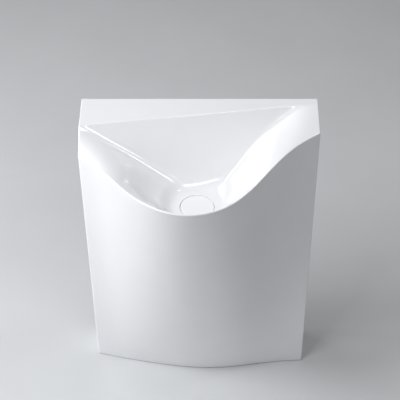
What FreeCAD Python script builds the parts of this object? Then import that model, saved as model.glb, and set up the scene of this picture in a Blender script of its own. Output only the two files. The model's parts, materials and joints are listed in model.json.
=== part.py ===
import FreeCAD, Part
import math
import os
from FreeCAD import Vector

# Floor-standing one-piece basin for a wall: a hollow cast body with a dipping front lip, a
# click-clack waste with a flush cover, a bottle trap, and the floor and wall fixings.
# Millimetres. +Z is up, the back stands against the wall at +Y, the lip faces -Y.
# "reach" is the distance from the wall and "drop" is the depth below the top edge.

# ---- driving dimensions of the body -------------------------------------------------------
WIDTH = 575.0
HEIGHT = 850.0
DEPTH = 360.0
SHEET = 12.0            # thickness of the front sheet
SIDE_WALL = 12.0
BACK_WALL = 14.0
BOWL_WALL = 20.0        # measured straight down
FLOOR_GAP = 1.5         # the rubber pads hold the casting this far off the floor
RIM_WIDTH = 6.0
MARGIN = 10.0           # how far the cutting surfaces run past the body

HALF = WIDTH / 2
WALL_Y = DEPTH / 2

# (x, reach) of the front outline at the floor and along the lip, (x, drop) of the lip
FLOOR_LINE = [(-HALF, 91), (-200, 112.5), (-110, 130), (-30, 141.5), (30, 144),
              (100, 139), (180, 127), (240, 120), (HALF, 117.5)]
LIP_LINE = [(-HALF, 166), (-235, 210), (-190, 265), (-140, 316.5), (-85, 349), (-32, 360),
            (20, 354.5), (75, 331.5), (120, 290.5), (165, 232.5), (215, 172), (255, 136),
            (HALF, 113)]
LIP_DROP = [(-HALF, 42), (-190, 44), (-110, 47.5), (-35, 51), (40, 47), (120, 35),
            (200, 21.5), (HALF, 15.6)]
# drop of the valley that runs across the bowl
VALLEY_DROP = [(-HALF, 2), (-211, 42), (-144, 77), (-90, 107), (-40, 127), (10, 133),
               (60, 129), (95, 104), (128, 74), (165, 46), (202, 26), (235, 8), (260, 1),
               (HALF, 0)]

DECK_REACH = 61.3       # front edge of the level deck at x = 0
DECK_SKEW = -0.148      # and how it narrows towards +x
REAR_SLOPE = 1.3
DECK_BLEND = 7.5
VALLEY_BLEND = 21.0

DRAIN_X = -6.0
DRAIN_REACH = 236.0
DRAIN_DROP = 140.0
SEAT_FLAT = 47.0        # radius of the level seat around the drain
SEAT_BLEND = 95.0       # radius where the seat has run out into the bowl
SAG_SHARE = 0.5         # share of the remaining depth that the bowl sags around the seat
SAG_FLAT = 10.0         # the sag is full inside this radius and runs out at the seat's edge
SAG_LEFT = 2.2          # the sag is this much longer to the left of the drain
SAG_RIGHT = 1.8         # and this much longer to the right
STEEPEST = 2.6          # how much steeper the front wall gets where the valley is deep
DEEP_VALLEY = 70.0

# ---- driving dimensions of the waste, trap and fixings ------------------------------------
COVER_RADIUS = 40.0
COVER_GAP = 1.2
COVER_THICK = 6.0
COVER_LIFT = 8.0
RECESS_DEPTH = 15.5
BOSS_RADIUS = 52.0
BOSS_DEPTH = 34.0
WASTE_RADIUS = 20.9     # G 1 1/4 thread
WASTE_HOLE = 23.0
WASTE_BORE = 18.5
FLANGE_RADIUS = 32.0
GASKET_THICK = 1.5
STEM_RADIUS = 4.0
SOCKET_RADIUS = 9.0
SOCKET_DEPTH = 4.0
PLUNGER_RADIUS = 8.0
CARTRIDGE_RADIUS = 11.0
BACK_NUT_FLATS = 56.0
TUBE_RADIUS = 16.0      # 32 mm tube
TUBE_WALL = 1.2
COLLAR_RADIUS = 20.5    # flange of the tailpiece and its washer
PORT_RADIUS = 21.0
TRAP_RADIUS = 29.0
TRAP_WALL = 3.0
CUP_RADIUS = 31.0
SOCKET_LENGTH = 60.0    # how far the outlet tube goes into the wall's socket
GROOVE_WIDTH = 2.0      # a shallow groove marks that depth
GROOVE_DEPTH = 0.4
THREAD_GRIP = 0.1       # radial room between a nut and its thread
NUT_HEIGHT = 23.6       # of a union nut
OUTLET_Z = 578.0
RUNNING = 0.05          # radial clearance of a running fit
GAP = 0.3               # between faces of different bodies

DRAIN_Y = WALL_Y - DRAIN_REACH
SEAT_Z = HEIGHT - DRAIN_DROP
RECESS_Z = SEAT_Z - RECESS_DEPTH
BOSS_Z = SEAT_Z - BOSS_DEPTH
WASTE_END = RECESS_Z - 55
COLLAR_TOP = WASTE_END - 2.5
CARTRIDGE_LOW = RECESS_Z - 50
SPRING_LOW = CARTRIDGE_LOW + 3
PLUNGER_LOW = CARTRIDGE_LOW + 12
PLUNGER_HIGH = PLUNGER_LOW + 18
CARTRIDGE_HIGH = PLUNGER_HIGH + COVER_LIFT + 4
LEDGE_Z = CARTRIDGE_LOW + 8
FLANGE_LOW = RECESS_Z + GASKET_THICK
FLANGE_TOP = FLANGE_LOW + 3
COVER_LOW = SEAT_Z - COVER_THICK
SLIP_THICK = 2.0
SLIP_TOP = BOSS_Z - 8
SEAL_TOP = OUTLET_Z - 29
CUP_RIM = SEAL_TOP - 2.5
CUP_THREAD = 27.0
NECK_TOP = OUTLET_Z + 40.5
PORT_END = TRAP_RADIUS + 26

SERVICE_HALF = 110.0
SERVICE_LOW = 60.0
SERVICE_HIGH = 640.0
SERVICE_CORNER = 30.0
WALL_HOLE_X = 160.0
WALL_HOLE_Z = 600.0
WALL_HOLE_RADIUS = 9.0
BUSH_BORE = 5.5
BUSH_FLANGE = 13.0

LUG_REACH = 52.0
LUG_SIZE = 44.0
LUG_THICK = 14.0
LUG_LOW = 14.0
LUG_FACE = HALF - SIDE_WALL - LUG_THICK
INSERT_RADIUS = 6.5
BRACKET_THICK = 4.0
BRACKET_LEG = 50.0
BRACKET_HEIGHT = 62.0
BRACKET_BOLT_Z = 40.0
BOLT_RADIUS = 4.0
BOLT_FLATS = 13.0
BOLT_HEAD = 5.3
WASHER_THICK = 1.6
FLOOR_HOLE_RADIUS = 4.5
PAD_RADIUS = 5.0
PAD_HEIGHT = 4.0


def spline(points):
    """Natural cubic spline through (x, value) points, as a function of x."""
    xs = [float(p[0]) for p in points]
    ys = [float(p[1]) for p in points]
    last = len(xs) - 1
    bend = [0.0] * (last + 1)
    upper = [0.0] * (last + 1)
    load = [0.0] * (last + 1)
    for i in range(1, last):
        before = xs[i] - xs[i - 1]
        after = xs[i + 1] - xs[i]
        share = before / (before + after)
        turn = 6 * ((ys[i + 1] - ys[i]) / after - (ys[i] - ys[i - 1]) / before)
        pivot = 2 - share * upper[i - 1]
        upper[i] = (1 - share) / pivot
        load[i] = (turn / (before + after) - share * load[i - 1]) / pivot
    for i in range(last - 1, 0, -1):
        bend[i] = load[i] - upper[i] * bend[i + 1]

    def value(x):
        i = 1
        while i < last and x > xs[i]:
            i += 1
        span = xs[i] - xs[i - 1]
        a = (xs[i] - x) / span
        b = 1 - a
        cubic = (a ** 3 - a) * bend[i - 1] + (b ** 3 - b) * bend[i]
        return a * ys[i - 1] + b * ys[i] + cubic * span * span / 6

    return value


floor_reach = spline(FLOOR_LINE)
lip_reach = spline(LIP_LINE)
lip_drop = spline(LIP_DROP)
valley_drop = spline(VALLEY_DROP)


def ease(low, high, x):
    """Smooth step from 0 at low to 1 at high."""
    u = min(1.0, max(0.0, (x - low) / (high - low)))
    return u ** 3 * (u * (6 * u - 15) + 10)


def above_zero(value, blend):
    """The larger of value and 0, with the corner rounded over +-blend."""
    u = min(1.0, max(0.0, 0.5 + value / (2 * blend)))
    return max(value - blend, 0) + 2 * blend * u ** 3 * (1 - u / 2)


def bowl_drop(x, reach):
    """Drop of the top surface below the top edge."""
    deck = DECK_REACH + DECK_SKEW * x
    rear = REAR_SLOPE * (reach - deck)
    lip = lip_drop(x)
    valley = valley_drop(x)
    inner = lip_reach(x) - RIM_WIDTH
    v = (inner - reach) / (inner - deck - valley / REAR_SLOPE)
    v = min(1.0, 0.5 * (v + math.sqrt(v * v + 0.0004)))
    steepness = 1 + STEEPEST * ease(0, DEEP_VALLEY, valley - lip)
    front = lip + (valley - lip) * (1 - (1 - v) ** steepness)
    across = x - DRAIN_X
    ahead = reach - DRAIN_REACH
    length = SAG_LEFT if across < 0 else SAG_RIGHT
    sag = 1 - ease(SAG_FLAT, SEAT_BLEND, math.hypot(across / length, ahead))
    front += SAG_SHARE * (DRAIN_DROP - front) * sag
    seat = 1 - ease(SEAT_FLAT, SEAT_BLEND, math.hypot(across, ahead))
    front += (DRAIN_DROP - front) * seat
    return above_zero(rear - above_zero(rear - front, VALLEY_BLEND), DECK_BLEND)


def front_reach(x, z):
    """Reach of the outer front face: straight rulings from the floor line to the lip line."""
    share = z / (HEIGHT - lip_drop(x))
    return floor_reach(x) + (lip_reach(x) - floor_reach(x)) * share


def cylinder(radius, low, high, x=DRAIN_X, y=DRAIN_Y):
    return Part.makeCylinder(radius, high - low, Vector(x, y, low))


def turned(profile, x=DRAIN_X, y=DRAIN_Y):
    """Solid of revolution about a vertical axis, from (radius, z) points."""
    points = [Vector(x + r, y, z) for r, z in profile]
    face = Part.Face(Part.makePolygon(points + points[:1]))
    return face.revolve(Vector(x, y, 0), Vector(0, 0, 1), 360)


def along_y(shape, z):
    """Lay a shape turned about the drain axis onto the horizontal outlet axis at height z."""
    shape = shape.copy()
    shape.translate(Vector(-DRAIN_X, -DRAIN_Y, 0))
    shape.rotate(Vector(0, 0, 0), Vector(1, 0, 0), -90)
    shape.translate(Vector(DRAIN_X, DRAIN_Y, z))
    return shape


def ring(outer, inner, low, high):
    return turned([(inner, low), (outer, low), (outer, high), (inner, high)])


def hexagon(across_flats, low, high, x=DRAIN_X, y=DRAIN_Y):
    corner = across_flats / math.sqrt(3)
    points = []
    for i in range(7):
        angle = math.radians(60 * i)
        points.append(Vector(x + corner * math.cos(angle), y + corner * math.sin(angle), low))
    return Part.Face(Part.makePolygon(points)).extrude(Vector(0, 0, high - low))


def threaded_profile(radius, low, high, pitch, depth):
    """Outline points up a ridged thread, from low to high."""
    points = []
    count = int((high - low) / pitch)
    for i in range(count):
        z = low + i * pitch
        points += [(radius - depth, z), (radius, z + pitch / 2)]
    points.append((radius - depth, low + count * pitch))
    return points


# ---- body ---------------------------------------------------------------------------------
def smooth_surface(point, columns, rows):
    """Uniform cubic B-spline surface that follows point(u, v), for u and v from 0 to 1."""
    def pole_row(line):
        return [(line[k] * 8 - line[k - 1] - line[k + 1]) * (1 / 6)
                for k in range(1, len(line) - 1)]

    samples = [[point(i / columns, j / rows) for j in range(-2, rows + 3)]
               for i in range(-2, columns + 3)]
    along = [pole_row(line) for line in samples]
    across = [pole_row(line) for line in zip(*along)]
    poles = [list(line) for line in zip(*across)]
    u_knots = list(range(-3, columns + 4))
    v_knots = list(range(-3, rows + 4))
    surface = Part.BSplineSurface()
    surface.buildFromPolesMultsKnots(poles, [1] * len(u_knots), [1] * len(v_knots),
                                     u_knots, v_knots, False, False, 3, 3)
    surface.segment(0, columns, 0, rows)
    return surface.toShape()


def space_above(lowered):
    """Everything above the top surface, which may be lowered by a wall thickness."""
    def point(u, v):
        x = (u - 0.5) * (WIDTH + 2 * MARGIN)
        reach = v * (DEPTH + 2 * MARGIN) - MARGIN
        return Vector(x, WALL_Y - reach, HEIGHT - bowl_drop(x, reach) - lowered)

    return smooth_surface(point, 70, 80).extrude(Vector(0, 0, HEIGHT))


def space_in_front(thickness):
    """Everything in front of the front face, which may be set back by a thickness."""
    def point(u, v):
        x = (u - 0.5) * (WIDTH + 2 * MARGIN)
        z = v * (HEIGHT + 2 * MARGIN) - MARGIN
        lean = (front_reach(x + 1, z) - front_reach(x - 1, z)) / 2
        reach = front_reach(x, z) - thickness * math.hypot(1, lean)
        return Vector(x, WALL_Y - reach, z)

    return smooth_surface(point, 48, 6).extrude(Vector(0, -DEPTH, 0))


def block(half, back, low, high):
    return Part.makeBox(2 * half, DEPTH + MARGIN, high - low,
                        Vector(-half, -WALL_Y - back - MARGIN, low))


def pad_places():
    """(x, y) of the rubber pads, on the middle line of the bottom rim."""
    middle = SHEET / 2
    places = []
    for side in (-1, 1):
        x = side * (HALF - SIDE_WALL / 2)
        places.append((x, WALL_Y - 12))
        places.append((x, WALL_Y - floor_reach(x) + 14))
    for x in (-150, 25, 160):
        places.append((x, WALL_Y - floor_reach(x) + middle))
    return places


def side_lug(side):
    """Solid lug on the inner side wall that holds a threaded insert."""
    inner = HALF - SIDE_WALL
    x = inner - LUG_THICK if side > 0 else -inner
    y = WALL_Y - LUG_REACH - LUG_SIZE / 2
    lug = Part.makeBox(LUG_THICK, LUG_SIZE, LUG_SIZE, Vector(x, y, LUG_LOW))
    hole_start = Vector(side * LUG_FACE, WALL_Y - LUG_REACH, BRACKET_BOLT_Z)
    hole = Part.makeCylinder(INSERT_RADIUS + 0.1, LUG_THICK - 1, hole_start, Vector(side, 0, 0))
    return lug.cut(hole)


def basin_body():
    body = block(HALF, 0, FLOOR_GAP, HEIGHT + MARGIN).cut([space_above(0), space_in_front(0)])
    hollow = block(HALF - SIDE_WALL, BACK_WALL, FLOOR_GAP - 1, HEIGHT - BOWL_WALL)
    body = body.cut(hollow.cut([space_above(BOWL_WALL), space_in_front(SHEET)]))
    body = body.fuse(cylinder(BOSS_RADIUS, BOSS_Z, SEAT_Z - BOWL_WALL + 8))
    cuts = [cylinder(COVER_RADIUS + COVER_GAP, RECESS_Z, SEAT_Z + 20)]
    cuts.append(cylinder(WASTE_HOLE, BOSS_Z - 1, RECESS_Z + 1))
    service = Part.makeBox(2 * SERVICE_HALF, BACK_WALL + 2, SERVICE_HIGH - SERVICE_LOW,
                           Vector(-SERVICE_HALF, WALL_Y - BACK_WALL - 1, SERVICE_LOW))
    upright = [edge for edge in service.Edges if abs(edge.tangentAt(0).y) > 0.9]
    cuts.append(service.makeFillet(SERVICE_CORNER, upright))
    for side in (-1, 1):
        start = Vector(side * WALL_HOLE_X, WALL_Y - BACK_WALL - 1, WALL_HOLE_Z)
        cuts.append(Part.makeCylinder(WALL_HOLE_RADIUS, BACK_WALL + 2, start, Vector(0, 1, 0)))
    for x, y in pad_places():
        cuts.append(cylinder(PAD_RADIUS + 0.1, 0, PAD_HEIGHT, x, y))
    body = body.fuse([side_lug(-1), side_lug(1)])
    return body.cut(cuts)


# ---- click-clack waste --------------------------------------------------------------------
def drain_cover():
    disc = turned([(0, COVER_LOW), (COVER_RADIUS - 1.5, COVER_LOW),
                   (COVER_RADIUS, COVER_LOW + 1.5), (COVER_RADIUS, SEAT_Z - 1),
                   (COVER_RADIUS - 1, SEAT_Z), (0, SEAT_Z)])
    socket = cylinder(SOCKET_RADIUS, COVER_LOW - SOCKET_DEPTH, COVER_LOW)
    thread = cylinder(STEM_RADIUS + RUNNING, COVER_LOW - SOCKET_DEPTH - 1, SEAT_Z - 2.5)
    return disc.fuse(socket).cut(thread)


def cover_seal():
    inner = WASTE_HOLE
    outer = FLANGE_RADIUS - 1
    foot = FLANGE_TOP + 0.1
    return turned([(inner, foot + 1.4), (inner + 3, foot), (outer - 2, foot),
                   (outer, foot + 1.4), (outer, COVER_LOW), (inner, COVER_LOW)])


def cover_stem():
    return cylinder(STEM_RADIUS, PLUNGER_LOW + 8.1, SEAT_Z - 2.6)


def cover_locknut():
    high = COVER_LOW - SOCKET_DEPTH
    return hexagon(13, high - 4, high).cut(cylinder(STEM_RADIUS + RUNNING, high - 5, high + 1))


def plunger():
    radius = PLUNGER_RADIUS
    body = turned([(0, PLUNGER_LOW), (radius - 1, PLUNGER_LOW), (radius, PLUNGER_LOW + 1),
                   (radius, PLUNGER_HIGH - 1), (radius - 1, PLUNGER_HIGH), (0, PLUNGER_HIGH)])
    return body.cut(cylinder(STEM_RADIUS + RUNNING, PLUNGER_LOW + 8, PLUNGER_HIGH + 1))


def cartridge_body():
    low = CARTRIDGE_LOW
    high = CARTRIDGE_HIGH
    outer = CARTRIDGE_RADIUS
    bore = PLUNGER_RADIUS + RUNNING
    mouth = STEM_RADIUS + 0.6
    shell = turned([(0, low), (outer - 1, low), (outer, low + 1), (outer, high - 1),
                    (outer - 1, high), (mouth, high), (mouth, high - 3), (bore, high - 3),
                    (bore, SPRING_LOW), (0, SPRING_LOW)])
    arms = []
    for i in range(3):
        start = Vector(DRAIN_X + outer - 0.6, DRAIN_Y - 1.5, LEDGE_Z)
        arm = Part.makeBox(WASTE_BORE - outer + 0.7, 3, 10, start)
        arm.rotate(Vector(DRAIN_X, DRAIN_Y, 0), Vector(0, 0, 1), 120 * i)
        arms.append(arm.common(cylinder(WASTE_BORE - 0.1, low, high)))
    return shell.fuse(arms)


def cartridge_spring():
    """Four open turns of round wire, as straight spans between many-sided sections."""
    wire = 0.6
    radius = 6.2
    turns = 4
    spans = 20
    sides = 10
    low = SPRING_LOW + wire + 0.1
    rise = PLUNGER_LOW - SPRING_LOW - 2 * (wire + 0.1)
    sections = []
    for i in range(turns * spans + 1):
        angle = 2 * math.pi * i / spans
        outward = Vector(math.cos(angle), math.sin(angle), 0)
        centre = Vector(DRAIN_X, DRAIN_Y, low + rise * i / (turns * spans)) + outward * radius
        points = []
        for k in range(sides + 1):
            around = 2 * math.pi * k / sides
            offset = outward * (wire * math.cos(around))
            points.append(centre + offset + Vector(0, 0, wire * math.sin(around)))
        sections.append(Part.makePolygon(points))
    return Part.makeLoft(sections, True, True)


def waste_body():
    narrow = WASTE_BORE - 1.5
    outer = threaded_profile(WASTE_RADIUS, WASTE_END, BOSS_Z + 6, 2.3, 0.7)
    profile = [(narrow, WASTE_END)] + outer
    profile += [(WASTE_RADIUS, BOSS_Z + 8), (WASTE_RADIUS, FLANGE_LOW),
                (FLANGE_RADIUS, FLANGE_LOW), (FLANGE_RADIUS, FLANGE_TOP - 0.8),
                (FLANGE_RADIUS - 0.8, FLANGE_TOP), (WASTE_BORE + 2, FLANGE_TOP),
                (WASTE_BORE, FLANGE_TOP - 2), (WASTE_BORE, LEDGE_Z), (narrow, LEDGE_Z)]
    return turned(profile)


def flange_gasket():
    return ring(FLANGE_RADIUS - 1, WASTE_HOLE + 0.5, RECESS_Z, FLANGE_LOW)


def cone_washer():
    inner = WASTE_RADIUS + 0.3
    return turned([(inner, BOSS_Z), (30, BOSS_Z), (26, SLIP_TOP), (inner, SLIP_TOP)])


def slip_washer():
    return ring(29, WASTE_RADIUS + 0.3, SLIP_TOP - SLIP_THICK, SLIP_TOP)


def back_nut():
    high = SLIP_TOP - SLIP_THICK
    low = high - 14
    corner = BACK_NUT_FLATS / math.sqrt(3)
    nut = hexagon(BACK_NUT_FLATS, low, high)
    chamfer = turned([(0, low), (BACK_NUT_FLATS / 2 - 0.5, low), (corner + 0.2, low + 3),
                      (corner + 0.2, high), (0, high)])
    return nut.common(chamfer).cut(cylinder(WASTE_RADIUS + THREAD_GRIP, low - 1, BOSS_Z))


# ---- bottle trap --------------------------------------------------------------------------
def union_nut(low, high, thread_radius):
    """Round union nut with grip flutes: the thread is at the low end, the lip at the high."""
    outer = thread_radius + 5
    lip = TUBE_RADIUS + 0.2
    body = turned([(thread_radius, low), (outer - 1, low), (outer, low + 1),
                   (outer, high - 4), (outer - 4, high), (lip, high), (lip, high - 4),
                   (thread_radius, high - 4)])
    flutes = []
    for i in range(12):
        angle = math.radians(30 * i)
        x = DRAIN_X + (outer + 1.6) * math.cos(angle)
        y = DRAIN_Y + (outer + 1.6) * math.sin(angle)
        flutes.append(cylinder(2.6, low - 1, high - 5, x, y))
    return body.cut(flutes)


def inlet_nut():
    start = -(WASTE_END + 10)
    nut = union_nut(start, start + 19, WASTE_RADIUS + THREAD_GRIP)
    nut.rotate(Vector(DRAIN_X, DRAIN_Y, 0), Vector(1, 0, 0), 180)
    return nut


def inlet_washer():
    return ring(COLLAR_RADIUS, TUBE_RADIUS - 1, COLLAR_TOP, WASTE_END)


def tailpiece():
    bore = TUBE_RADIUS - TUBE_WALL
    low = OUTLET_Z - 50
    collar_low = COLLAR_TOP - 2.5
    return turned([(bore, low), (TUBE_RADIUS, low), (TUBE_RADIUS, collar_low),
                   (COLLAR_RADIUS, collar_low), (COLLAR_RADIUS, COLLAR_TOP),
                   (bore, COLLAR_TOP)])


def tapered_seal(low):
    inner = TUBE_RADIUS + RUNNING
    outer = PORT_RADIUS - 0.2
    high = low + 7.5
    return turned([(inner, low), (inner + 1, low), (outer, low + 3), (outer, high),
                   (inner, high)])


def trap_top_nut():
    return union_nut(NECK_TOP - 12, NECK_TOP - 12 + NUT_HEIGHT, PORT_RADIUS + THREAD_GRIP)


def trap_top_seal():
    return tapered_seal(NECK_TOP)


def trap_body():
    inner = TRAP_RADIUS - TRAP_WALL
    bore = TUBE_RADIUS + 0.4
    z = OUTLET_Z
    shell = turned([(CUP_THREAD - 2, z - 41), (CUP_THREAD, z - 41), (CUP_THREAD, SEAL_TOP),
                    (CUP_RADIUS, SEAL_TOP), (CUP_RADIUS, z - 25), (TRAP_RADIUS, z - 24),
                    (TRAP_RADIUS, z + 17), (inner, z + 23), (PORT_RADIUS, z + 24),
                    (PORT_RADIUS, NECK_TOP), (bore, NECK_TOP), (bore, z + 21), (inner, z + 16),
                    (inner, z - 22), (CUP_THREAD - 2, z - 25)])
    port = along_y(ring(PORT_RADIUS, 1, 0, PORT_END), z)
    chamber = cylinder(inner - 0.01, z - 24, z + 24)
    channel = along_y(cylinder(bore, 0, PORT_END + 1), z)
    return shell.fuse(port.cut(chamber)).cut(channel)


def cup_seal():
    return ring(CUP_RADIUS - 0.5, CUP_THREAD + 0.1, CUP_RIM + GAP, SEAL_TOP)


def trap_cup():
    z = OUTLET_Z
    inner = CUP_THREAD + GAP + 0.05
    cup = turned([(0, z - 78), (12, z - 78), (24, z - 73), (29, z - 64),
                  (CUP_RADIUS, z - 56), (CUP_RADIUS, CUP_RIM), (inner, CUP_RIM),
                  (inner, z - 43), (25, z - 45), (25, z - 60), (21, z - 69), (12, z - 73),
                  (0, z - 73)])
    flutes = []
    for i in range(16):
        angle = math.radians(22.5 * i)
        x = DRAIN_X + (CUP_RADIUS + 2) * math.cos(angle)
        y = DRAIN_Y + (CUP_RADIUS + 2) * math.sin(angle)
        flutes.append(cylinder(3, z - 57, z - 36, x, y))
    return cup.cut(flutes)


def outlet_nut():
    start = PORT_END - 12
    return along_y(union_nut(start, start + NUT_HEIGHT, PORT_RADIUS + THREAD_GRIP), OUTLET_Z)


def outlet_seal():
    return along_y(tapered_seal(PORT_END), OUTLET_Z)


def outlet_tube():
    """Tube from the trap to the wall, with a groove that marks its depth in the wall."""
    bore = TUBE_RADIUS - TUBE_WALL
    groove = TUBE_RADIUS - GROOVE_DEPTH
    start = TRAP_RADIUS + 4
    end = WALL_Y - DRAIN_Y
    mark = end - SOCKET_LENGTH
    tube = turned([(bore, start), (TUBE_RADIUS, start), (TUBE_RADIUS, mark - GROOVE_WIDTH),
                   (groove, mark - GROOVE_WIDTH), (groove, mark), (TUBE_RADIUS, mark),
                   (TUBE_RADIUS, end), (bore, end)])
    return along_y(tube, OUTLET_Z)


# ---- fixings ------------------------------------------------------------------------------
def both_sides(make):
    """A piece made for the +x side, with its mirror image on the other side."""
    shape = make()
    return Part.makeCompound([shape, shape.mirror(Vector(0, 0, 0), Vector(1, 0, 0))])


def floor_bracket():
    half = LUG_SIZE / 2 - 3
    y = WALL_Y - LUG_REACH - half
    upright = Part.makeBox(BRACKET_THICK, 2 * half, BRACKET_HEIGHT,
                           Vector(LUG_FACE - BRACKET_THICK, y, 0))
    foot = Part.makeBox(BRACKET_LEG, 2 * half, BRACKET_THICK, Vector(LUG_FACE - BRACKET_LEG, y, 0))
    bracket = upright.fuse(foot).removeSplitter()
    hole_start = Vector(LUG_FACE - BRACKET_THICK - 1, WALL_Y - LUG_REACH, BRACKET_BOLT_Z)
    bolt_hole = Part.makeCylinder(BOLT_RADIUS + 0.3, BRACKET_THICK + 2, hole_start,
                                  Vector(1, 0, 0))
    floor_hole = cylinder(FLOOR_HOLE_RADIUS, -1, BRACKET_THICK + 1,
                          LUG_FACE - BRACKET_LEG / 2 - 4, WALL_Y - LUG_REACH)
    return bracket.cut([bolt_hole, floor_hole])


def sideways(shape, start):
    """Turn a shape made up the drain axis to point along +x from the given x."""
    shape = shape.copy()
    shape.translate(Vector(-DRAIN_X, -DRAIN_Y, 0))
    shape.rotate(Vector(0, 0, 0), Vector(0, 1, 0), 90)
    shape.translate(Vector(start, WALL_Y - LUG_REACH, BRACKET_BOLT_Z))
    return shape


def bracket_bolt():
    under = -BRACKET_THICK - WASHER_THICK
    head = hexagon(BOLT_FLATS, under - BOLT_HEAD, under)
    shank = cylinder(BOLT_RADIUS, under, 10)
    return sideways(head.fuse(shank), LUG_FACE)


def bracket_washer():
    washer = ring(8, BOLT_RADIUS + 0.2, -BRACKET_THICK - WASHER_THICK, -BRACKET_THICK)
    return sideways(washer, LUG_FACE)


def bracket_insert():
    return sideways(ring(INSERT_RADIUS, BOLT_RADIUS + RUNNING, 0, LUG_THICK - 1.2), LUG_FACE)


def foot_pads():
    return Part.makeCompound([cylinder(PAD_RADIUS, 0, PAD_HEIGHT - 0.05, x, y)
                              for x, y in pad_places()])


def wall_bush():
    """Flanged bush, pushed into the wall hole from inside."""
    sleeve = WALL_HOLE_RADIUS - 0.1
    end = BACK_WALL + 1.5
    shape = turned([(BUSH_BORE, 0), (BUSH_FLANGE, 0), (BUSH_FLANGE, 2), (sleeve, 2),
                    (sleeve, end), (BUSH_BORE, end)])
    shape = along_y(shape, WALL_HOLE_Z)
    shape.translate(Vector(WALL_HOLE_X - DRAIN_X, WALL_Y - BACK_WALL - 2 - DRAIN_Y, 0))
    return shape


NODES = {
    "basin_body": basin_body,
    "drain_cover": drain_cover,
    "cover_seal": cover_seal,
    "cover_stem": cover_stem,
    "cover_locknut": cover_locknut,
    "plunger": plunger,
    "cartridge_body": cartridge_body,
    "cartridge_spring": cartridge_spring,
    "waste_body": waste_body,
    "flange_gasket": flange_gasket,
    "cone_washer": cone_washer,
    "slip_washer": slip_washer,
    "back_nut": back_nut,
    "inlet_nut": inlet_nut,
    "inlet_washer": inlet_washer,
    "tailpiece": tailpiece,
    "trap_top_nut": trap_top_nut,
    "trap_top_seal": trap_top_seal,
    "trap_body": trap_body,
    "cup_seal": cup_seal,
    "trap_cup": trap_cup,
    "outlet_nut": outlet_nut,
    "outlet_seal": outlet_seal,
    "outlet_tube": outlet_tube,
    "floor_brackets": lambda: both_sides(floor_bracket),
    "bracket_bolts": lambda: both_sides(bracket_bolt),
    "bracket_washers": lambda: both_sides(bracket_washer),
    "bracket_inserts": lambda: both_sides(bracket_insert),
    "foot_pads": foot_pads,
    "wall_bushes": lambda: both_sides(wall_bush),
}

os.makedirs("parts", exist_ok=True)
for name, make in NODES.items():
    shape = make()
    shape.exportStep("parts/" + name + ".step")
    box = shape.BoundBox
    print(name, "solids", len(shape.Solids), "valid", shape.isValid(),
          "volume", round(shape.Volume), "x", round(box.XMin, 1), round(box.XMax, 1),
          "y", round(box.YMin, 1), round(box.YMax, 1), "z", round(box.ZMin, 1),
          round(box.ZMax, 1))
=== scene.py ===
import json
import math
from functools import partial

import bmesh
import bpy
import numpy as np
from mathutils import Matrix, Vector


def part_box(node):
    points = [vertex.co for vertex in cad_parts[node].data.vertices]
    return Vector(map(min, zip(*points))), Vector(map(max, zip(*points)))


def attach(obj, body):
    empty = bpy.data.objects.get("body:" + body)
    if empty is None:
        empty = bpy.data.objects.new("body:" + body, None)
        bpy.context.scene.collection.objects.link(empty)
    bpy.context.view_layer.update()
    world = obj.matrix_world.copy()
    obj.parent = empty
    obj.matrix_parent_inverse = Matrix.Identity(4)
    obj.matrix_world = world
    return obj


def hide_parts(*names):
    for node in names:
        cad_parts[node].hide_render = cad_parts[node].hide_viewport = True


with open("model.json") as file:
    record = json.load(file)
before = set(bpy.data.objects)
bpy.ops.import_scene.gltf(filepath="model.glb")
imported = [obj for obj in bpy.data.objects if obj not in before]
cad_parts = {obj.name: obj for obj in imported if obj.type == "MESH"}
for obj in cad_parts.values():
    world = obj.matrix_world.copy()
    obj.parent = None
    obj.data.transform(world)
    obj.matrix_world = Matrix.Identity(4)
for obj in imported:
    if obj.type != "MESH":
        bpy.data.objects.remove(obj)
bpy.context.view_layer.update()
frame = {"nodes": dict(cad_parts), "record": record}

# All shape sizes are in millimetres and become metres in new_piece.
# "reach" is the distance from the wall and "drop" is the depth below the top edge.
MM = 0.001

low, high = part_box("basin_body")
HALF = round((high.x - low.x) / 2 / MM, 1)
WALL_Y = round(high.y / MM, 1)
HEIGHT = 850.0
DEPTH = 2 * WALL_Y
FLOOR_GAP = 1.5

# ---- the casting's shape: the CAD model's sizes, but a crisper deck edge ---------------------
SHEET = 12.0
SIDE_WALL = 12.0
BACK_WALL = 14.0
BOWL_WALL = 20.0
RIM_WIDTH = 6.0
FLOOR_LINE = [(-HALF, 91), (-200, 112.5), (-110, 130), (-30, 141.5), (30, 144),
              (100, 139), (180, 127), (240, 120), (HALF, 117.5)]
LIP_LINE = [(-HALF, 166), (-235, 210), (-190, 265), (-140, 316.5), (-85, 349), (-32, 360),
            (20, 354.5), (75, 331.5), (120, 290.5), (165, 232.5), (215, 172), (255, 136),
            (HALF, 113)]
LIP_DROP = [(-HALF, 42), (-190, 44), (-110, 47.5), (-35, 51), (40, 47), (120, 35),
            (200, 21.5), (HALF, 15.6)]
VALLEY_DROP = [(-HALF, 2), (-211, 42), (-144, 77), (-90, 107), (-40, 127), (10, 133),
               (60, 129), (95, 104), (128, 74), (165, 46), (202, 26), (235, 8), (260, 1),
               (HALF, 0)]
DECK_REACH = 61.3
DECK_SKEW = -0.148
REAR_SLOPE = 1.3
DECK_BLEND = 3.0        # 7.5 in the CAD model
VALLEY_BLEND = 21.0
DRAIN_X = -6.0
DRAIN_REACH = 236.0
DRAIN_DROP = 140.0
SEAT_FLAT = 47.0
SEAT_BLEND = 95.0
SAG_SHARE = 0.5
SAG_FLAT = 10.0
SAG_LEFT = 2.2
SAG_RIGHT = 1.8
STEEPEST = 2.6
DEEP_VALLEY = 70.0
LIP_SOFTENING = 0.0004  # rounds the start of the front wall at the lip

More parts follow.
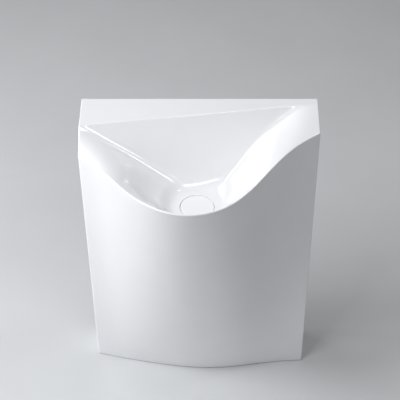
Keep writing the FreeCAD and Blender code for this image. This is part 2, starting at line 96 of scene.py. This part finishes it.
COVER_RADIUS = 40.0
COVER_GAP = 1.2
COVER_THICK = 6.0
COVER_EDGE = 1.2        # radius of the cover's soft edge
COVER_CROWN = 0.5       # rise of its top at the middle
COVER_EDGE_STEPS = 6
COVER_CHAMFER = 1.5     # round the underside
SOCKET_RADIUS = 9.0
SOCKET_BORE = 4.05
SOCKET_DEPTH = 4.0
SOCKET_CHAMFER = 0.6
BORE_ROOF = 2.5         # from the seat level down to the end of the bore
RECESS_DEPTH = 15.5
RECESS_CHAMFER = 2.0
BOSS_RADIUS = 52.0
BOSS_DEPTH = 34.0
BOSS_EDGE = 3.0
BOSS_TOP = 10.0         # below the seat level, inside the bowl's wall
WASTE_HOLE = 23.0
DRAIN_Y = WALL_Y - DRAIN_REACH
SEAT_Z = HEIGHT - DRAIN_DROP
RECESS_Z = SEAT_Z - RECESS_DEPTH
BOSS_Z = SEAT_Z - BOSS_DEPTH
MOUTH = [(0, -0.8), (0.25, -0.25), (2, 1.2)]   # (outwards, upwards) round the recess

SERVICE_HALF = 110.0
SERVICE_LOW = 60.0
SERVICE_HIGH = 640.0
SERVICE_CORNER = 30.0
WALL_HOLE_X = 160.0
WALL_HOLE_Z = 600.0
WALL_HOLE_RADIUS = 9.0
LUG_REACH = 52.0
LUG_SIZE = 44.0
LUG_THICK = 14.0
LUG_LOW = 14.0
LUG_FACE = HALF - SIDE_WALL - LUG_THICK
LUG_HOLE_Z = 40.0
INSERT_RADIUS = 6.5
INSERT_DEPTH = LUG_THICK - 1
PAD_RADIUS = 5.0
PAD_HEIGHT = 4.0
PAD_BACK = 12.0         # from the wall
PAD_FRONT = 14.0        # from the floor line
PAD_XS = (-150, 25, 160)
SLACK = 0.1             # between a pressed-in part and its hole
EDGE_ROUND = 2.0        # softened edge of the openings in the back
EDGE_TURN = 75.0        # degrees of the rounding that the cutter follows
# how far cutters run past what they cut: inside, at the wall plane and the lugs, and at the foot
PAST = 2.0
OVERLAP = 1.0           # also how far the lugs go into the side walls
HOLLOW_PAST = 5.0

# ---- how finely the casting is meshed --------------------------------------------------------
CORNER = 3.0            # radius of the rounded outer corners
SIDE_CORNER = 2.6       # radius where the outline meets the flat sides
CORNER_STEPS = 8
COLUMNS = 230
DECK_STEPS = 20
EDGE_STEPS = 11
DECK_EDGE = 3.0         # half the width of the finely meshed strip along the deck's edge
TOP_STEPS = 130
FRONT_STEPS = 40
BACK_STEPS = 12
FOOT_STEPS = 8
HOLLOW_COLUMNS = 90
ROOF_STEPS = 80
SHEET_STEPS = 16
ROOF_SEARCH_STEPS = 400
CAP_INSET = 0.5         # width of the faces round each flat side that keep its shading flat
TOUCHING = 1e-6         # metres; points closer than this become one


def spline(points):
    """Natural cubic spline through (x, value) points, as a function of an array of x."""
    xs = np.array([p[0] for p in points], float)
    ys = np.array([p[1] for p in points], float)
    spans = np.diff(xs)
    slopes = np.diff(ys) / spans
    system = np.eye(len(xs))
    load = np.zeros(len(xs))
    for i in range(1, len(xs) - 1):
        system[i, i - 1:i + 2] = (spans[i - 1], 2 * (spans[i - 1] + spans[i]), spans[i])
        load[i] = 6 * (slopes[i] - slopes[i - 1])
    bend = np.linalg.solve(system, load)

    def value(x):
        i = np.clip(np.searchsorted(xs, x), 1, len(xs) - 1)
        span = xs[i] - xs[i - 1]
        a = (xs[i] - x) / span
        b = 1 - a
        cubic = (a ** 3 - a) * bend[i - 1] + (b ** 3 - b) * bend[i]
        return a * ys[i - 1] + b * ys[i] + cubic * span * span / 6

    return value


floor_reach = spline(FLOOR_LINE)
lip_reach = spline(LIP_LINE)
lip_drop = spline(LIP_DROP)
valley_drop = spline(VALLEY_DROP)


def ease(start, end, x):
    """Smooth step from 0 at start to 1 at end."""
    u = np.clip((x - start) / (end - start), 0, 1)
    return u ** 3 * (u * (6 * u - 15) + 10)


def above_zero(value, blend):
    """The larger of value and 0, with the corner rounded over +-blend."""
    u = np.clip(0.5 + value / (2 * blend), 0, 1)
    return np.maximum(value - blend, 0) + 2 * blend * u ** 3 * (1 - u / 2)


def bowl_drop(x, reach):
    """Drop of the top surface below the top edge."""
    deck = DECK_REACH + DECK_SKEW * x
    rear = REAR_SLOPE * (reach - deck)
    lip = lip_drop(x)
    valley = valley_drop(x)
    inner = lip_reach(x) - RIM_WIDTH
    v = (inner - reach) / (inner - deck - valley / REAR_SLOPE)
    v = np.minimum(1, 0.5 * (v + np.sqrt(v * v + LIP_SOFTENING)))
    steepness = 1 + STEEPEST * ease(0, DEEP_VALLEY, valley - lip)
    front = lip + (valley - lip) * (1 - (1 - v) ** steepness)
    across = x - DRAIN_X
    ahead = reach - DRAIN_REACH
    length = np.where(across < 0, SAG_LEFT, SAG_RIGHT)
    sag = 1 - ease(SAG_FLAT, SEAT_BLEND, np.hypot(across / length, ahead))
    front = front + SAG_SHARE * (DRAIN_DROP - front) * sag
    away = ease(SEAT_FLAT, SEAT_BLEND, np.hypot(across, ahead))
    front = DRAIN_DROP * (1 - away) + front * away
    return above_zero(rear - above_zero(rear - front, VALLEY_BLEND), DECK_BLEND)


def front_reach(x, z):
    """Reach of the outer front face: straight rulings from the floor line to the lip line."""
    share = z / (HEIGHT - lip_drop(x))
    return floor_reach(x) + (lip_reach(x) - floor_reach(x)) * share


# ---- mesh helpers ----------------------------------------------------------------------------
def new_piece(name, points, faces):
    """Mesh object from points in millimetres."""
    mesh = bpy.data.meshes.new(name)
    mesh.from_pydata([tuple(c * MM for c in p) for p in points], [], faces)
    mesh.update()
    piece = bpy.data.objects.new(name, mesh)
    bpy.context.scene.collection.objects.link(piece)
    return piece


def finish_shading(piece, sharp_angle=32):
    """Consistent outward faces, smooth shading, and sharp edges where faces turn a corner."""
    shape = bmesh.new()
    shape.from_mesh(piece.data)
    bmesh.ops.recalc_face_normals(shape, faces=shape.faces)
    for face in shape.faces:
        face.smooth = True
    for edge in shape.edges:
        edge.smooth = edge.calc_face_angle(math.pi) < math.radians(sharp_angle)
    shape.to_mesh(piece.data)
    shape.free()
    return piece


def sections_piece(name, sections):
    """Closed skin through equal-length closed sections, with a flat cap at each end."""
    count = len(sections[0])
    points = [tuple(p) for section in sections for p in section]
    faces = []
    for k in range(len(sections) - 1):
        for i in range(count):
            j = (i + 1) % count
            faces.append((k * count + i, k * count + j, (k + 1) * count + j,
                          (k + 1) * count + i))
    faces.append(tuple(range(count - 1, -1, -1)))
    faces.append(tuple(range((len(sections) - 1) * count, len(sections) * count)))
    return new_piece(name, points, faces)


def turned_piece(name, profile, centre=(DRAIN_X, DRAIN_Y), steps=96):
    """Solid of revolution about a vertical axis, from a closed (radius, z) profile."""
    sections = []
    for k in range(steps):
        angle = 2 * math.pi * k / steps
        sections.append([(centre[0] + r * math.cos(angle), centre[1] + r * math.sin(angle), z)
                         for r, z in profile])
    count = len(profile)
    points = [p for section in sections for p in section]
    faces = []
    for k in range(steps):
        after = (k + 1) % steps
        for i in range(count):
            j = (i + 1) % count
            faces.append((k * count + i, after * count + i, after * count + j, k * count + j))
    piece = new_piece(name, points, faces)
    shape = bmesh.new()
    shape.from_mesh(piece.data)
    bmesh.ops.remove_doubles(shape, verts=shape.verts, dist=TOUCHING)
    bmesh.ops.dissolve_degenerate(shape, dist=TOUCHING, edges=shape.edges)
    bmesh.ops.recalc_face_normals(shape, faces=shape.faces)
    shape.to_mesh(piece.data)
    shape.free()
    return piece


def box_piece(name, start, end):
    """Box between two opposite corners."""
    points = [(x, y, z) for x in (start[0], end[0]) for y in (start[1], end[1])
              for z in (start[2], end[2])]
    faces = [(0, 1, 3, 2), (4, 6, 7, 5), (0, 4, 5, 1), (2, 3, 7, 6), (0, 2, 6, 4), (1, 5, 7, 3)]
    return new_piece(name, points, faces)


def ready_for_boolean(piece):
    """Outward faces, and triangles in place of faces with many corners."""
    shape = bmesh.new()
    shape.from_mesh(piece.data)
    bmesh.ops.recalc_face_normals(shape, faces=shape.faces)
    wide = [face for face in shape.faces if len(face.verts) > 4]
    bmesh.ops.triangulate(shape, faces=wide)
    shape.to_mesh(piece.data)
    shape.free()


def combine(piece, tool, operation):
    """Boolean of two closed pieces. The tool is used up."""
    ready_for_boolean(piece)
    ready_for_boolean(tool)
    cutter = piece.modifiers.new("combine", "BOOLEAN")
    cutter.operation = operation
    cutter.solver = "EXACT"
    cutter.object = tool
    graph = bpy.context.evaluated_depsgraph_get()
    mesh = bpy.data.meshes.new_from_object(piece.evaluated_get(graph))
    piece.modifiers.clear()
    piece.data = mesh
    bpy.data.objects.remove(tool)
    return piece


# ---- casting ---------------------------------------------------------------------------------
def arc(centre, start, end, radius=CORNER):
    """Points on an arc between two angles in degrees."""
    angles = np.radians(np.linspace(start, end, CORNER_STEPS + 1))
    return [(centre[0] + radius * math.cos(a), centre[1] + radius * math.sin(a))
            for a in angles]


def outer_section(x, inset):
    """Closed outline of the casting at x, moved inwards by inset."""
    foot = float(floor_reach(x))
    lip_z = HEIGHT - float(lip_drop(x))
    lip = float(front_reach(x, lip_z))
    lean = math.degrees(math.atan2(lip - foot, lip_z))
    points = [(0, z) for z in np.linspace(FLOOR_GAP + CORNER, HEIGHT - CORNER, BACK_STEPS)][:-1]
    points += arc((CORNER, HEIGHT - CORNER), 180, 90)
    setback = CORNER * math.tan(math.radians(90 + lean) / 2)
    deck = DECK_REACH + DECK_SKEW * x
    reaches = np.concatenate((np.linspace(CORNER, deck - DECK_EDGE, DECK_STEPS)[1:-1],
                              np.linspace(deck - DECK_EDGE, deck + DECK_EDGE, EDGE_STEPS),
                              np.linspace(deck + DECK_EDGE, lip - setback, TOP_STEPS)[1:-1]))
    for reach in reaches:
        points.append((reach, HEIGHT - float(bowl_drop(x, reach))))
    points += arc((lip - setback, lip_z - CORNER), 90, -lean)
    foot_setback = CORNER * math.tan(math.radians(90 - lean) / 2)
    run_in = math.radians(lean)
    top = (lip - setback * math.sin(run_in), lip_z - setback * math.cos(run_in))
    low_z = FLOOR_GAP + foot_setback * math.cos(run_in)
    end = (float(front_reach(x, low_z)), low_z)
    for share in np.linspace(0, 1, FRONT_STEPS)[1:-1]:
        points.append((top[0] + (end[0] - top[0]) * share, top[1] + (end[1] - top[1]) * share))
    foot_end = float(front_reach(x, FLOOR_GAP)) - foot_setback
    points += arc((foot_end, FLOOR_GAP + CORNER), -lean, -90)
    points += [(reach, FLOOR_GAP) for reach in np.linspace(foot_end, CORNER, FOOT_STEPS)][1:-1]
    points += arc((CORNER, FLOOR_GAP + CORNER), 270, 180)[:-1]
    outline = np.array(points)
    if inset:
        along = np.roll(outline, -1, 0) - np.roll(outline, 1, 0)
        along /= np.linalg.norm(along, axis=1)[:, None]
        outline = outline + inset * np.column_stack((along[:, 1], -along[:, 0]))
    return [(x, WALL_Y - reach, z) for reach, z in outline]


def outer_skin():
    """Outside of the casting, with every outer edge rounded."""
    stations = [(x, 0) for x in np.linspace(SIDE_CORNER - HALF, HALF - SIDE_CORNER, COLUMNS)]
    for step in range(1, CORNER_STEPS + 1):
        turn = math.radians(90 * step / CORNER_STEPS)
        x = HALF - SIDE_CORNER * (1 - math.sin(turn))
        inset = SIDE_CORNER * (1 - math.cos(turn))
        stations.append((x, inset))
        stations.insert(0, (-x, inset))
    skin = sections_piece("sink_casting", [outer_section(x, inset) for x, inset in stations])
    shape = bmesh.new()
    shape.from_mesh(skin.data)
    caps = [face for face in shape.faces if len(face.verts) > 4]
    bmesh.ops.inset_individual(shape, faces=caps, thickness=CAP_INSET * MM)
    shape.to_mesh(skin.data)
    shape.free()
    return skin


def hollow_section(x):
    """Closed outline of the space inside the casting at x, open at the foot."""
    reaches = np.linspace(BACK_WALL, DEPTH, ROOF_SEARCH_STEPS)
    roof = HEIGHT - bowl_drop(x, reaches) - BOWL_WALL
    lean = (front_reach(x + 1, roof) - front_reach(x - 1, roof)) / 2
    sheet = front_reach(x, roof) - SHEET * np.hypot(1, lean)
    inside = np.argmax(reaches > sheet)
    roof_end = reaches[inside - 1]
    points = []
    for reach in np.linspace(BACK_WALL, roof_end, ROOF_STEPS):
        points.append((reach, HEIGHT - float(bowl_drop(x, reach)) - BOWL_WALL))
    low_z = FLOOR_GAP - HOLLOW_PAST
    for z in np.linspace(points[-1][1], low_z, SHEET_STEPS)[1:]:
        slope = float(front_reach(x + 1, z) - front_reach(x - 1, z)) / 2
        points.append((float(front_reach(x, z)) - SHEET * math.hypot(1, slope), z))
    points.append((BACK_WALL, low_z))
    return [(x, WALL_Y - reach, z) for reach, z in points]


def hollow():
    """The space inside the casting, between the two side walls."""
    half = HALF - SIDE_WALL
    sections = [hollow_section(x) for x in np.linspace(-half, half, HOLLOW_COLUMNS)]
    return sections_piece("hollow", sections)


def service_outline(grow):
    """Rounded (x, z) outline of the opening in the back, grown by an amount."""
    points = []
    middle = (SERVICE_HIGH + SERVICE_LOW) / 2
    half_high = (SERVICE_HIGH - SERVICE_LOW) / 2
    for quarter, (right, up) in enumerate(((1, 1), (-1, 1), (-1, -1), (1, -1))):
        centre = (right * (SERVICE_HALF - SERVICE_CORNER),
                  middle + up * (half_high - SERVICE_CORNER))
        points += arc(centre, 90 * quarter, 90 * quarter + 90, SERVICE_CORNER + grow)
    return points


def flared_sections(outline):
    """Sections through the back wall of an opening whose outer edge is rounded."""
    sections = [[(x, WALL_Y - BACK_WALL - PAST, z) for x, z in outline(0)]]
    last_turn = math.radians(EDGE_TURN)
    for turn in np.linspace(0, last_turn, CORNER_STEPS):
        y = WALL_Y - EDGE_ROUND * (1 - math.sin(turn))
        grow = EDGE_ROUND * (1 - math.cos(turn))
        sections.append([(x, y, z) for x, z in outline(grow)])
    past = WALL_Y + OVERLAP - y
    sections.append([(x, y + past, z) for x, z in outline(grow + past * math.tan(last_turn))])
    return sections


def wall_hole_outline(side, grow):
    """Round (x, z) outline of a wall fixing's hole, grown by an amount."""
    centre = (side * WALL_HOLE_X, WALL_HOLE_Z)
    points = []
    for quarter in range(4):
        start = 90 * quarter
        points += arc(centre, start, start + 90, WALL_HOLE_RADIUS + grow)[:-1]
    return points


def pad_places():
    """(x, y) of the rubber pads, on the middle line of the bottom rim."""
    places = []
    for side in (-1, 1):
        x = side * (HALF - SIDE_WALL / 2)
        places += [(x, WALL_Y - PAD_BACK), (x, WALL_Y - float(floor_reach(x)) + PAD_FRONT)]
    return places + [(x, WALL_Y - float(floor_reach(x)) + SHEET / 2) for x in PAD_XS]


def lug_pieces(side):
    """Solid lug on the inner side wall, and the hole in it for the threaded insert."""
    ends = sorted((side * LUG_FACE, side * (HALF - SIDE_WALL + OVERLAP)))
    y = WALL_Y - LUG_REACH
    lug = box_piece("lug", (ends[0], y - LUG_SIZE / 2, LUG_LOW),
                    (ends[1], y + LUG_SIZE / 2, LUG_LOW + LUG_SIZE))
    radius = INSERT_RADIUS + SLACK
    hole = turned_piece("hole", [(0, -OVERLAP), (radius, -OVERLAP), (radius, INSERT_DEPTH),
                                 (0, INSERT_DEPTH)], (0, 0), steps=48)
    hole.data.transform(Matrix.Rotation(side * math.pi / 2, 4, "Y"))
    hole.data.transform(Matrix.Translation(Vector((side * LUG_FACE, y, LUG_HOLE_Z)) * MM))
    return lug, hole


def casting():
    """The hollow body with its waste recess, openings, lugs and pad pockets."""
    body = combine(outer_skin(), hollow(), "DIFFERENCE")
    boss = turned_piece("boss", [(0, BOSS_Z), (BOSS_RADIUS - BOSS_EDGE, BOSS_Z),
                                 (BOSS_RADIUS, BOSS_Z + BOSS_EDGE),
                                 (BOSS_RADIUS, SEAT_Z - BOSS_TOP), (0, SEAT_Z - BOSS_TOP)])
    combine(body, boss, "UNION")
    opening = COVER_RADIUS + COVER_GAP
    recess = [(0, BOSS_Z - PAST), (WASTE_HOLE, BOSS_Z - PAST), (WASTE_HOLE, RECESS_Z),
              (opening - RECESS_CHAMFER, RECESS_Z), (opening, RECESS_Z + RECESS_CHAMFER)]
    recess += [(opening + out, SEAT_Z + up) for out, up in MOUTH]
    recess.append((0, recess[-1][1]))
    combine(body, turned_piece("recess", recess), "DIFFERENCE")
    combine(body, sections_piece("service", flared_sections(service_outline)), "DIFFERENCE")
    for side in (-1, 1):
        hole = sections_piece("hole", flared_sections(partial(wall_hole_outline, side)))
        combine(body, hole, "DIFFERENCE")
        lug, insert_hole = lug_pieces(side)
        combine(body, lug, "UNION")
        combine(body, insert_hole, "DIFFERENCE")
    radius = PAD_RADIUS + SLACK
    for place in pad_places():
        profile = [(0, 0), (radius, 0), (radius, PAD_HEIGHT), (0, PAD_HEIGHT)]
        pocket = turned_piece("pocket", profile, place, steps=40)
        combine(body, pocket, "DIFFERENCE")
    return finish_shading(body)


def drain_cover():
    """Round cover with a slightly crowned top and a soft edge, and its socket below."""
    under = SEAT_Z - COVER_THICK
    socket_low = under - SOCKET_DEPTH
    bore_end = SEAT_Z - BORE_ROOF
    profile = [(SOCKET_BORE, bore_end), (SOCKET_BORE, socket_low),
               (SOCKET_RADIUS - SOCKET_CHAMFER, socket_low),
               (SOCKET_RADIUS, socket_low + SOCKET_CHAMFER), (SOCKET_RADIUS, under),
               (COVER_RADIUS - COVER_CHAMFER, under), (COVER_RADIUS, under + COVER_CHAMFER)]
    for step in range(COVER_EDGE_STEPS + 1):
        turn = math.radians(90 * step / COVER_EDGE_STEPS)
        profile.append((COVER_RADIUS - COVER_EDGE * (1 - math.cos(turn)),
                        SEAT_Z - COVER_CROWN - COVER_EDGE * (1 - math.sin(turn))))
    for share in (0.8, 0.6, 0.4, 0.2, 0):
        radius = (COVER_RADIUS - COVER_EDGE) * share
        profile.append((radius, SEAT_Z - COVER_CROWN * share ** 2))
    profile.append((0, bore_end))
    return finish_shading(turned_piece("cover_disc", profile, steps=144))


# ---- materials -------------------------------------------------------------------------------
def material(name, colour, roughness, metallic=0.0):
    """Principled material and its node tree, ready for detail."""
    made = bpy.data.materials.new(name)
    made.use_nodes = True
    shader = made.node_tree.nodes["Principled BSDF"]
    shader.inputs["Base Color"].default_value = (*colour, 1)
    shader.inputs["Roughness"].default_value = roughness
    shader.inputs["Metallic"].default_value = metallic
    return made, made.node_tree, shader


def noise(tree, scale, detail=3.0, stretch=(1, 1, 1)):
    """Noise texture in object space."""
    place = tree.nodes.new("ShaderNodeTexCoord")
    mapping = tree.nodes.new("ShaderNodeMapping")
    mapping.inputs["Scale"].default_value = stretch
    texture = tree.nodes.new("ShaderNodeTexNoise")
    texture.inputs["Scale"].default_value = scale
    texture.inputs["Detail"].default_value = detail
    tree.links.new(place.outputs["Object"], mapping.inputs["Vector"])
    tree.links.new(mapping.outputs["Vector"], texture.inputs["Vector"])
    return texture.outputs["Fac"]


def spread(tree, source, low_value, high_value, target):
    """Map the middle of a noise texture's range onto two values and feed them to an input."""
    ramp = tree.nodes.new("ShaderNodeMapRange")
    ramp.inputs["From Min"].default_value = 0.3
    ramp.inputs["From Max"].default_value = 0.7
    ramp.inputs["To Min"].default_value = low_value
    ramp.inputs["To Max"].default_value = high_value
    tree.links.new(source, ramp.inputs["Value"])
    tree.links.new(ramp.outputs["Result"], target)


def tint(tree, source, first, second, target):
    """Blend two colours by a texture."""
    ramp = tree.nodes.new("ShaderNodeValToRGB")
    ramp.color_ramp.elements[0].position = 0.35
    ramp.color_ramp.elements[1].position = 0.65
    ramp.color_ramp.elements[0].color = (*first, 1)
    ramp.color_ramp.elements[1].color = (*second, 1)
    tree.links.new(source, ramp.inputs["Fac"])
    tree.links.new(ramp.outputs["Color"], target)


def bump(tree, source, strength, distance, target):
    """Fine relief from a texture, over a distance in metres."""
    relief = tree.nodes.new("ShaderNodeBump")
    relief.inputs["Strength"].default_value = strength
    relief.inputs["Distance"].default_value = distance
    tree.links.new(source, relief.inputs["Height"])
    tree.links.new(relief.outputs["Normal"], target)


def glaze(name, colour):
    """White glaze: deep gloss, a faint waviness and a trace of unevenness in tone."""
    made, tree, shader = material(name, colour, 0.12)
    shader.inputs["IOR"].default_value = 1.5
    shader.inputs["Coat Weight"].default_value = 0.35
    shader.inputs["Coat Roughness"].default_value = 0.04
    tint(tree, noise(tree, 9), colour, tuple(c * 0.985 for c in colour), shader.inputs["Base Color"])
    spread(tree, noise(tree, 60), 0.1, 0.16, shader.inputs["Roughness"])
    bump(tree, noise(tree, 38, 1.0), 0.05, 0.0006, shader.inputs["Normal"])
    return made


def metal(name, colour, roughness, streaks=(1, 1, 14)):
    """Metal with a fine grain and a trace of unevenness in tone."""
    made, tree, shader = material(name, colour, roughness, 1.0)
    tint(tree, noise(tree, 40), colour, tuple(c * 0.9 for c in colour), shader.inputs["Base Color"])
    grain = noise(tree, 120, 4.0, streaks)
    spread(tree, grain, roughness * 0.7, roughness * 1.5, shader.inputs["Roughness"])
    bump(tree, grain, 0.08, 0.0002, shader.inputs["Normal"])
    return made


def moulded(name, colour, roughness):
    """Plastic or rubber with a fine moulded texture."""
    made, tree, shader = material(name, colour, roughness)
    tint(tree, noise(tree, 70), colour, tuple(c * 0.82 for c in colour), shader.inputs["Base Color"])
    spread(tree, noise(tree, 200), roughness * 0.85, min(1, roughness * 1.15),
           shader.inputs["Roughness"])
    bump(tree, noise(tree, 900, 2.0), 0.15, 0.0002, shader.inputs["Normal"])
    return made


MATERIALS = {
    "glaze": glaze("glaze", (0.865, 0.87, 0.885)),
    "cover_glaze": glaze("cover_glaze", (0.875, 0.88, 0.895)),
    "chrome": metal("chrome", (0.82, 0.83, 0.85), 0.08),
    "brass": metal("brass", (0.78, 0.58, 0.28), 0.28),
    "zinc_steel": metal("zinc_steel", (0.6, 0.62, 0.65), 0.38),
    "spring_steel": metal("spring_steel", (0.62, 0.63, 0.65), 0.25),
    "seal_rubber": moulded("seal_rubber", (0.03, 0.03, 0.03), 0.7),
    "pad_rubber": moulded("pad_rubber", (0.05, 0.05, 0.05), 0.75),
    "plunger_plastic": moulded("plunger_plastic", (0.7, 0.71, 0.73), 0.4),
    "cartridge_plastic": moulded("cartridge_plastic", (0.1, 0.11, 0.13), 0.45),
    "washer_plastic": moulded("washer_plastic", (0.82, 0.82, 0.79), 0.45),
    "bush_plastic": moulded("bush_plastic", (0.78, 0.78, 0.75), 0.5),
}


def dress(piece, body, slot, *nodes):
    """Finish, body and CAD nodes of a new piece."""
    piece.data.materials.clear()
    piece.data.materials.append(MATERIALS[slot])
    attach(piece, body)
    if nodes:
        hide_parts(*nodes)
    return piece


for part in frame["record"]["subparts"]:
    node = frame["nodes"][part["node"]]
    for holder in node.material_slots:
        holder.material = MATERIALS[part["material_slot"]]

dress(casting(), "sink", "glaze", "basin_body")
dress(drain_cover(), "stopper", "cover_glaze", "drain_cover")


# ---- floor, light and camera -----------------------------------------------------------------
FLOOR_HALF = 6000


def floor():
    """Plain light grey floor, which is part of the stage and not of the object."""
    corners = [(-FLOOR_HALF, -FLOOR_HALF, 0), (FLOOR_HALF, -FLOOR_HALF, 0),
               (FLOOR_HALF, FLOOR_HALF, 0), (-FLOOR_HALF, FLOOR_HALF, 0)]
    piece = new_piece("floor", corners, [(0, 1, 2, 3)])
    made, tree, shader = material("floor_finish", (0.66, 0.67, 0.68), 0.5)
    tint(tree, noise(tree, 3.5, 5.0), (0.67, 0.68, 0.69), (0.65, 0.66, 0.67),
         shader.inputs["Base Color"])
    spread(tree, noise(tree, 30), 0.42, 0.55, shader.inputs["Roughness"])
    piece.data.materials.append(made)


# name, azimuth from +X towards +Y, elevation, width and height in metres, power in watts
SOFT_LIGHTS = [
    ("key_high", 197, 60, 0.85, 0.85, 34),
    ("key_front", 225, 55, 1.0, 1.0, 25),
    ("side_low", 180, 10, 1.0, 1.0, 44),
    ("side_front", 210, 10, 1.0, 1.0, 17),
    ("back_left", 140, 50, 1.0, 1.0, 10),
    ("right_high", 5, 59, 0.4, 0.5, 9),
    ("right_front", 296, 57, 0.7, 0.4, 8),
]
LIGHT_DISTANCE = 3.2
LIGHT_TARGET = Vector((0, 0, 0.6))
LIGHT_COLOUR = (0.975, 0.983, 1.0)
SKY_STRENGTH = 0.2


def area_light(name, direction, width, height, power):
    """Soft rectangular light that faces the middle of the sink."""
    data = bpy.data.lights.new(name, "AREA")
    data.shape = "RECTANGLE"
    data.size = width
    data.size_y = height
    data.energy = power
    data.color = LIGHT_COLOUR
    lamp = bpy.data.objects.new(name, data)
    bpy.context.scene.collection.objects.link(lamp)
    lamp.location = LIGHT_TARGET + Vector(direction) * LIGHT_DISTANCE
    lamp.rotation_euler = Vector(direction).to_track_quat("Z", "Y").to_euler()


def studio():
    """Even sky light, soft lights on the left, and two smaller ones on the right for the creases."""
    world = bpy.data.worlds.new("studio")
    world.use_nodes = True
    sky = world.node_tree.nodes["Background"]
    sky.inputs["Color"].default_value = (*LIGHT_COLOUR, 1)
    sky.inputs["Strength"].default_value = SKY_STRENGTH
    bpy.context.scene.world = world
    for name, azimuth, elevation, width, height, power in SOFT_LIGHTS:
        around = math.radians(azimuth)
        above = math.radians(elevation)
        direction = (math.cos(above) * math.cos(around), math.cos(above) * math.sin(around),
                     math.sin(above))
        area_light(name, direction, width, height, power)


LOOK_DOWN = 43          # degrees
LENS = 111.8            # millimetres, for a 36 mm wide sensor
EYE_X = 0.0008          # metres, as are the next two
EYE_REACH = 2.3794      # from the wall plane
EYE_Z = 2.7304


def camera():
    """The photo's view: from the front and above, square to the wall."""
    data = bpy.data.cameras.new("camera")
    data.sensor_width = 36
    data.lens = LENS
    eye = bpy.data.objects.new("camera", data)
    bpy.context.scene.collection.objects.link(eye)
    eye.location = (EYE_X, WALL_Y * MM - EYE_REACH, EYE_Z)
    eye.rotation_euler = (math.pi / 2 - math.radians(LOOK_DOWN), 0, 0)
    bpy.context.scene.camera = eye


floor()
studio()
camera()
bpy.context.scene.view_settings.view_transform = "Standard"
